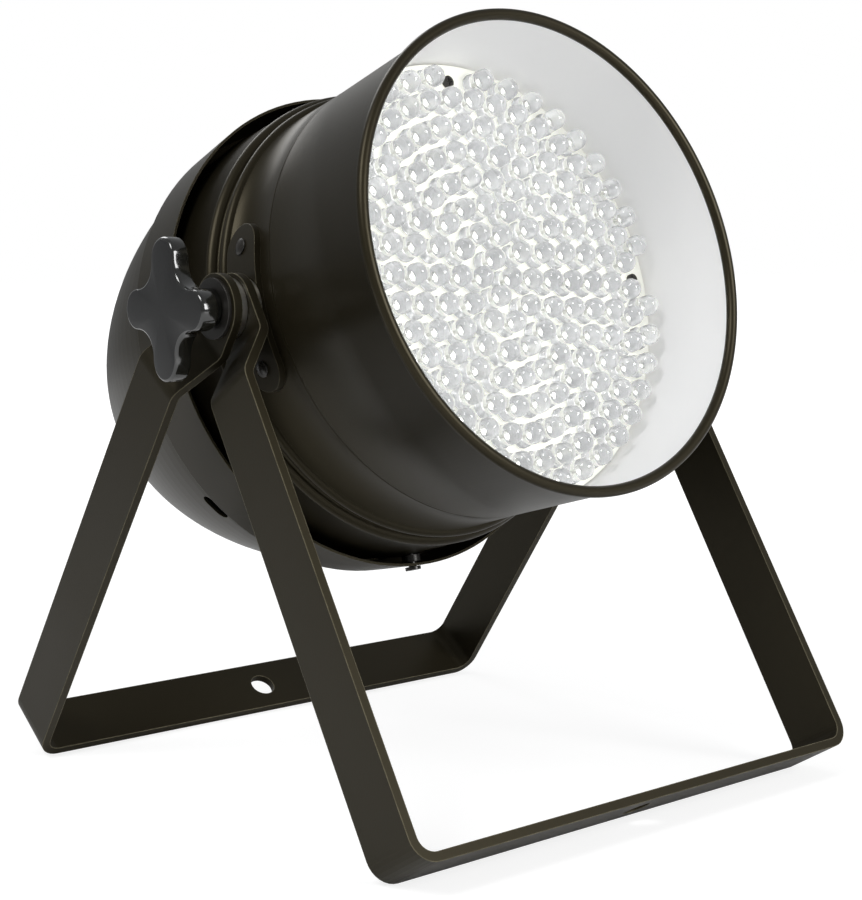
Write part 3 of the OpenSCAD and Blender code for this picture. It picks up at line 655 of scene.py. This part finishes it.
@dataclass
class Barrel:
    """The can's front tube: rolled rim, flared mouth, two ribs and a band."""

    axes: Axes
    radius: float = 104.5 * MM
    wall: float = 1.2 * MM
    mouth: float = 106.2 * MM
    rim_at: float = 86.3 * MM
    bead: float = 2.5 * MM
    crease_at: float = 18 * MM
    step: float = 107 * MM
    band: float = 110.5 * MM
    first_rib: float = -16 * MM
    second_rib: float = -23 * MM
    back: float = -58 * MM
    rib_half: float = 2 * MM
    rib_height: float = 2.2 * MM
    edge_break: float = 0.2 * MM
    columns: int = 256

    def _rib(self, station: float, front: float, rear: float) -> np.ndarray:
        """A half-round rib.

        The radius runs evenly from front to rear, plus the rib's height times the
        sine of the angle.

        Args:
            station: the rib's middle.
            front: radius before the rib.
            rear: radius behind it.

        Returns:
            (radius, station) rows from front to rear.
        """
        t = np.linspace(0, np.pi, RIB_POINTS)
        radius = front + (rear - front) * t / np.pi + self.rib_height * np.sin(t)
        return np.stack([radius, station + self.rib_half * np.cos(t)], axis=1)

    def build(self, paint: Paintbox) -> bpy.types.Object:
        """Builds the tube as one wall, black outside and white inside.

        Args:
            paint: the materials.

        Returns:
            The finished piece.
        """
        half = self.rib_height / 2
        rear_edge = [
            [self.band, self.back + self.edge_break],
            [self.band - self.edge_break, self.back],
        ]
        tube = np.concatenate([
            [[self.mouth, self.rim_at - self.bead]],
            CREASE + [self.radius, self.crease_at],
            self._rib(self.first_rib, self.radius, self.step - half),
            self._rib(self.second_rib, self.step - half, self.band - half),
            rear_edge,
        ])
        inner = tube[::-1] - np.array([self.wall, 0.0])
        middle = (self.mouth - self.bead / 4, self.rim_at)
        bead = arc(middle, self.bead, *BEAD_ARC, BEAD_POINTS)
        profile = np.concatenate([tube, inner, bead])
        points, quads = turned(self.axes, profile, self.columns)
        row = np.repeat(np.arange(len(profile)), self.columns)
        inside = (row >= len(tube)) & (row < len(tube) + len(inner) - 1)
        finishes = [paint.slots["can_paint"], paint.white_inside]
        piece = make_piece("barrel_shell", points, quads, finishes, inside)
        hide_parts("barrel")
        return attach(piece, "can")


# (radius, height over the board) rows: flange, straight body and domed head
LED_BODY = np.array([
    [5.6, 0.05], [5.6, 1.4], [5.0, 1.5], [5.0, 8.8],
    [4.62, 10.7], [3.54, 12.34], [1.9, 13.42], [0.5, 13.77],
]) * MM
# (radius, height over the board) rows: stem, and the flared cup on it
LEAD_FRAME = np.array([[0.5, 1.2], [0.5, 5.0], [1.5, 6.4], [1.2, 6.4], [0.3, 5.4]]) * MM
LEAD_COLUMNS = 6
REACH_TOLERANCE = 0.5 * MM


@dataclass
class LedArray:
    """Clear LEDs in rings on the board, each with its lead frame inside."""

    axes: Axes
    board_at: float = 35 * MM
    inner_radius: float = 8.5 * MM
    pitch: float = 12.6 * MM
    rings: int = 7
    first_count: int = 4
    ring_step: int = 6
    spoke: float = -2.5
    outer_radius: float = 94.5 * MM
    outer_count: int = 40
    screws: int = 4
    columns: int = 12

    def places(self) -> np.ndarray:
        """Where each LED stands: ring k has four plus six k places at an even angle.

        Returns:
            One (across, up) row per LED.
        """
        k = np.arange(self.rings)
        count = self.first_count + self.ring_step * k
        ring = np.repeat(k, count)
        turn = np.arange(len(ring)) - np.repeat(np.cumsum(count) - count, count)
        start = np.where(ring == self.rings - 1, 180 / self.outer_count, self.spoke)
        angle = np.radians(start + 360 * turn / count[ring])
        radius = self.inner_radius + self.pitch * ring
        outer = np.arange(self.outer_count)
        outer = outer[outer % (self.outer_count // self.screws) != 0]
        outer_angle = 2 * np.pi * outer / self.outer_count
        angle = np.concatenate([angle, outer_angle])
        radius = np.concatenate([radius, np.full(len(outer), self.outer_radius)])
        return np.stack([radius * np.cos(angle), radius * np.sin(angle)], axis=1)

    def _repeat(self, profile: np.ndarray, columns: int) -> dict[str, np.ndarray]:
        """Copies a small turned shape to every place.

        Each copy is the profile turned about its own centre and moved there.

        Args:
            profile: a (radius, height) outline that a cap closes at each end.
            columns: steps round.

        Returns:
            All points, outward quads and caps, under make_piece's own names.
        """
        angle = np.linspace(0, 2 * np.pi, columns, endpoint=False)
        places = self.places()
        r, h = profile[:, 0][:, None], profile[:, 1][:, None]
        across = places[:, 0][:, None, None] + r * np.cos(angle)
        up = places[:, 1][:, None, None] + r * np.sin(angle)
        along = self.board_at + h + 0 * angle + 0 * places[:, 0][:, None, None]
        points = self.axes.place(across, up, along)
        one = len(profile) * columns
        quads, caps = capped_faces(points[:one], len(profile), columns)
        offsets = (np.arange(len(places)) * one)[:, None, None]
        return {
            "points": points,
            "quads": (quads[None] + offsets).reshape(-1, 4),
            "caps": (caps[None] + offsets).reshape(-1, columns),
        }

    def build(self, paint: Paintbox) -> list[bpy.types.Object]:
        """Builds the clear bodies and the lead frames inside them.

        Args:
            paint: the materials.

        Returns:
            The finished pieces.
        """
        low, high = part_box("leds")
        packed = max(high.x, -low.x)
        reach = np.abs(self.places()[:, 0]).max() + LED_BODY[:, 0].max()
        if abs(reach - packed) > REACH_TOLERANCE:
            LOG.warning("LED places reach %.4f m, the packed LEDs %.4f m", reach, packed)
        clear = [paint.slots["led_epoxy"]]
        domes = make_piece("led_bodies", materials=clear, **self._repeat(LED_BODY, self.columns))
        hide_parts("leds")
        leads = self._repeat(LEAD_FRAME, LEAD_COLUMNS)
        frames = make_piece("led_lead_frames", materials=[paint.lead_metal], **leads)
        return [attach(domes, "can"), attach(frames, "can")]


# (radius, distance from the hub's inner end) rows round the screw's insert, flaring to the star
HUB = np.array([
    [6.05, 0.0], [8.4, 0.0], [8.7, 0.3], [8.7, 11.6],
    [9.4, 13.0], [12.0, 15.4], [12.7, 16.0], [6.05, 16.0],
]) * MM
HUB_COLUMNS = 64
EDGE_RINGS = 15
FACE_RINGS = 14
# The domed face, from just inside the edge to a small flat in the middle, as shares of the star
FACE_FROM, FACE_TO = 0.97, 0.05
# Shares of the fillet: how far the face's edge lies below the top, and how far the dome falls
FACE_SINK, DOME_FALL = 1.6, 0.6


@dataclass
class ClampKnob:
    """A four-lobed clamp knob with a domed matt face and glossy sides."""

    side: Side
    pivot: np.ndarray
    hub_from: float = 124.4 * MM
    hub_length: float = 15.6 * MM
    thickness: float = 9 * MM
    width: float = 60 * MM
    lobe: float = 17 * MM
    hollow: float = 0.97
    fillet: float = 1.6 * MM
    columns: int = 240

    def outline(self, angle: np.ndarray) -> np.ndarray:
        """Distance from the middle to the star's edge at each angle.

        Folded to one eighth of a turn, a ray meets the lobe's round end, the lobe's
        straight side, or the hollow between lobes, whichever covers its angle.

        Args:
            angle: angles, radians.

        Returns:
            The distances.
        """
        t = np.abs((angle + np.pi / 4) % (np.pi / 2) - np.pi / 4)
        half, reach = self.lobe / 2, (self.width - self.lobe) / 2
        bend = (self.width / 2 - self.lobe) * self.hollow
        corner = half + bend
        end = reach * np.cos(t) + np.sqrt(np.maximum(half**2 - (reach * np.sin(t)) ** 2, 0))
        side = half / np.maximum(np.sin(t), 1e-6)
        toward = corner * (np.cos(t) + np.sin(t))
        dip = toward - np.sqrt(np.maximum(toward**2 - 2 * corner**2 + bend**2, 0))
        on_side = side * np.cos(t)
        return np.where(on_side > reach, end, np.where(on_side > corner, side, dip))

    def build(self, paint: Paintbox) -> bpy.types.Object:
        """Builds the star and its hub.

        The star's rings shrink from its edge to the middle of the domed face.

        Args:
            paint: the materials.

        Returns:
            The finished piece.
        """
        name = self.side.name.lower()
        angle = np.linspace(0, 2 * np.pi, self.columns, endpoint=False)
        edge = self.outline(angle)
        turn = np.radians(np.linspace(-90, 90, EDGE_RINGS))
        inset = self.fillet * (1 - np.cos(turn))
        lower = self.fillet * (1 + np.sin(turn))
        upper = self.thickness - self.fillet * (FACE_SINK - np.sin(turn))
        height = np.where(turn < 0, lower, upper)
        share = np.linspace(FACE_FROM, FACE_TO, FACE_RINGS)
        crown = self.thickness - DOME_FALL * self.fillet * share**3
        rim = edge[None] - inset[:, None]
        face = share[:, None] * (edge[None] - self.fillet)
        radius = np.concatenate([rim, face])
        level = np.concatenate([height, crown])[:, None] + self.hub_length + 0 * angle
        sign = float(self.side.value)
        outward_axis = np.array([sign, 0, 0])
        axes = Axes(
            self.pivot + self.hub_from * outward_axis,
            np.array([0, 1.0, 0]),
            np.array([0, 0, 1.0]),
            outward_axis,
        )
        star = axes.place(radius * np.cos(angle), radius * np.sin(angle), level)
        star_quads, caps = capped_faces(star, len(radius), self.columns)
        matt = np.repeat(np.arange(len(radius) - 1), self.columns) >= len(turn) - 2
        hub, hub_quads = turned(axes, HUB, HUB_COLUMNS)
        points = np.concatenate([star, hub])
        quads = np.concatenate([star_quads, hub_quads + len(star)])
        which = np.concatenate([matt, np.zeros(len(hub_quads), dtype=bool), [False, True]])
        finishes = [paint.slots["knob_plastic"], paint.knob_face]
        piece = make_piece(f"knob_{name}_grip", points, quads, finishes, which, caps)
        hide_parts(f"knob_{name}")
        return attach(piece, f"knob_{name}")


# ---- Studio ----


FLOOR_HALF = 40.0
FLOOR_DROP = 0.2 * MM
FLOOR_GLOW = 1.25
# How far from the middle the floor starts and ends turning white, and how white it is there
FLOOR_WHITENING = {"From Min": 0.3, "From Max": 1.1, "To Min": 0.62, "To Max": 1.0}
BACKDROP_LIGHT = 0.3
LIGHTS_AIM = (0, 0, 0.2)


@dataclass(frozen=True)
class SoftLight:
    """A square area light: its place, the length of its side and its power in watts."""

    place: tuple[float, float, float]
    size: float
    power: float


LIGHTS = (
    SoftLight((-1.3, -0.3, 1.7), 0.8, 20.0),
    SoftLight((0.5, -1.9, 0.9), 1.0, 34.0),
    SoftLight((0.2, 1.5, 1.6), 1.0, 10.0),
)


@dataclass
class Studio:
    """A pale floor, soft lights and the camera."""

    floor_height: float
    eye: tuple[float, float, float] = (-0.52821, -0.65789, 0.23458)
    right: tuple[float, float, float] = (0.76575, -0.64307, -0.00912)
    up: tuple[float, float, float] = (0.07248, 0.07220, 0.99475)
    forward: tuple[float, float, float] = (0.63904, 0.76240, -0.10190)
    lens: float = 70.07
    sensor: float = 36.0
    lights: tuple[SoftLight, ...] = LIGHTS

    def build(self) -> None:
        """Sets the camera, the lights, the backdrop colour and the floor."""
        data = bpy.data.cameras.new("camera")
        data.lens = self.lens
        data.sensor_width = self.sensor
        camera = bpy.data.objects.new("camera", data)
        back = tuple(-c for c in self.forward)
        turn = Matrix((self.right, self.up, back)).transposed().to_4x4()
        camera.matrix_world = Matrix.Translation(Vector(self.eye)) @ turn
        bpy.context.scene.collection.objects.link(camera)
        bpy.context.scene.camera = camera
        for number, light in enumerate(self.lights):
            lamp = bpy.data.lights.new(f"soft_light_{number}", "AREA")
            lamp.size, lamp.energy = light.size, light.power
            holder = bpy.data.objects.new(lamp.name, lamp)
            holder.location = light.place
            holder.rotation_mode = "QUATERNION"
            aim = Vector(LIGHTS_AIM) - Vector(light.place)
            holder.rotation_quaternion = aim.to_track_quat("-Z", "Y")
            bpy.context.scene.collection.objects.link(holder)
        self._backdrop()
        self._floor()
        bpy.context.scene.view_settings.view_transform = "Standard"

    def _backdrop(self) -> None:
        """A white backdrop to look at, dimmer as a light."""
        world = bpy.data.worlds.new("backdrop")
        bpy.context.scene.world = world
        world.use_nodes = True
        tree = world.node_tree
        seen, lit = tree.nodes["Background"], tree.nodes.new("ShaderNodeBackground")
        seen.inputs["Color"].default_value = (1, 1, 1, 1)
        seen.inputs["Strength"].default_value = 1.0
        lit.inputs["Color"].default_value = (0.96, 0.98, 1, 1)
        lit.inputs["Strength"].default_value = BACKDROP_LIGHT
        mix, path = (tree.nodes.new("ShaderNode" + kind) for kind in ("MixShader", "LightPath"))
        link(tree, path.outputs["Is Camera Ray"], mix.inputs[0])
        link(tree, lit.outputs[0], mix.inputs[1])
        link(tree, seen.outputs[0], mix.inputs[2])
        link(tree, mix.outputs[0], tree.nodes["World Output"].inputs["Surface"])

    def _floor(self) -> None:
        """A wide pale floor under the lamp."""
        size, level = FLOOR_HALF, self.floor_height - FLOOR_DROP
        corners = np.array([
            [-size, -size, level], [size, -size, level], [size, size, level], [-size, size, level],
        ])
        material = bpy.data.materials.new("floor_paper")
        material.use_nodes = True
        tree = material.node_tree
        shader = tree.nodes["Principled BSDF"]
        shader.inputs["Base Color"].default_value = (0.9, 0.9, 0.9, 1)
        shader.inputs["Roughness"].default_value = 0.9
        shader.inputs["Specular IOR Level"].default_value = 0.0
        white, path, mix, place, length, spread = (
            tree.nodes.new("ShaderNode" + kind)
            for kind in ("Emission", "LightPath", "MixShader", "TexCoord", "VectorMath", "MapRange")
        )
        length.operation = "LENGTH"
        link(tree, place.outputs["Object"], length.inputs[0])
        for label, value in FLOOR_WHITENING.items():
            spread.inputs[label].default_value = value
        link(tree, length.outputs["Value"], spread.inputs["Value"])
        far = maths(tree, "MULTIPLY", path.outputs["Is Camera Ray"], spread.outputs["Result"])
        link(tree, far, mix.inputs[0])
        link(tree, shader.outputs[0], mix.inputs[1])
        link(tree, white.outputs[0], mix.inputs[2])
        link(tree, mix.outputs[0], tree.nodes["Material Output"].inputs["Surface"])
        white.inputs["Strength"].default_value = FLOOR_GLOW
        make_piece("floor", corners, np.array([[0, 1, 2, 3]]), [material])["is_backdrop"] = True


def can_axes(frame: dict) -> Axes:
    """The can's axes, from the record's tilt joint and the way its buttons press.

    Args:
        frame: what load() returned.

    Returns:
        Axes at the pivot: side, up across the beam, along the beam.
    """
    joints = {joint["name"]: joint for joint in frame["record"]["behaviour"]["joints"]}
    origin = np.array(joints["can_tilt"]["pos_m"])
    along = np.array(joints["press_mode"]["axis"])
    along = along / np.linalg.norm(along)
    return Axes(origin, np.array([1.0, 0, 0]), np.array([0, along[2], -along[1]]), along)


def main() -> None:
    """Builds the looks in order and reports each piece."""
    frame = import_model()
    low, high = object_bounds()
    axes = can_axes(frame)
    paint = Paintbox()
    paint.dress_frame(frame)
    LOG.info("dressed %d carried-over nodes", len(frame["nodes"]))
    made = [Barrel(axes).build(paint), *LedArray(axes).build(paint)]
    made += [ClampKnob(side, axes.origin).build(paint) for side in Side]
    for piece in made:
        LOG.info("built %s with %d faces", piece.name, len(piece.data.polygons))
    Studio(low.z).build()


if __name__ == "__main__":
    logging.basicConfig(level=logging.INFO, format="%(name)s: %(message)s")
    main()
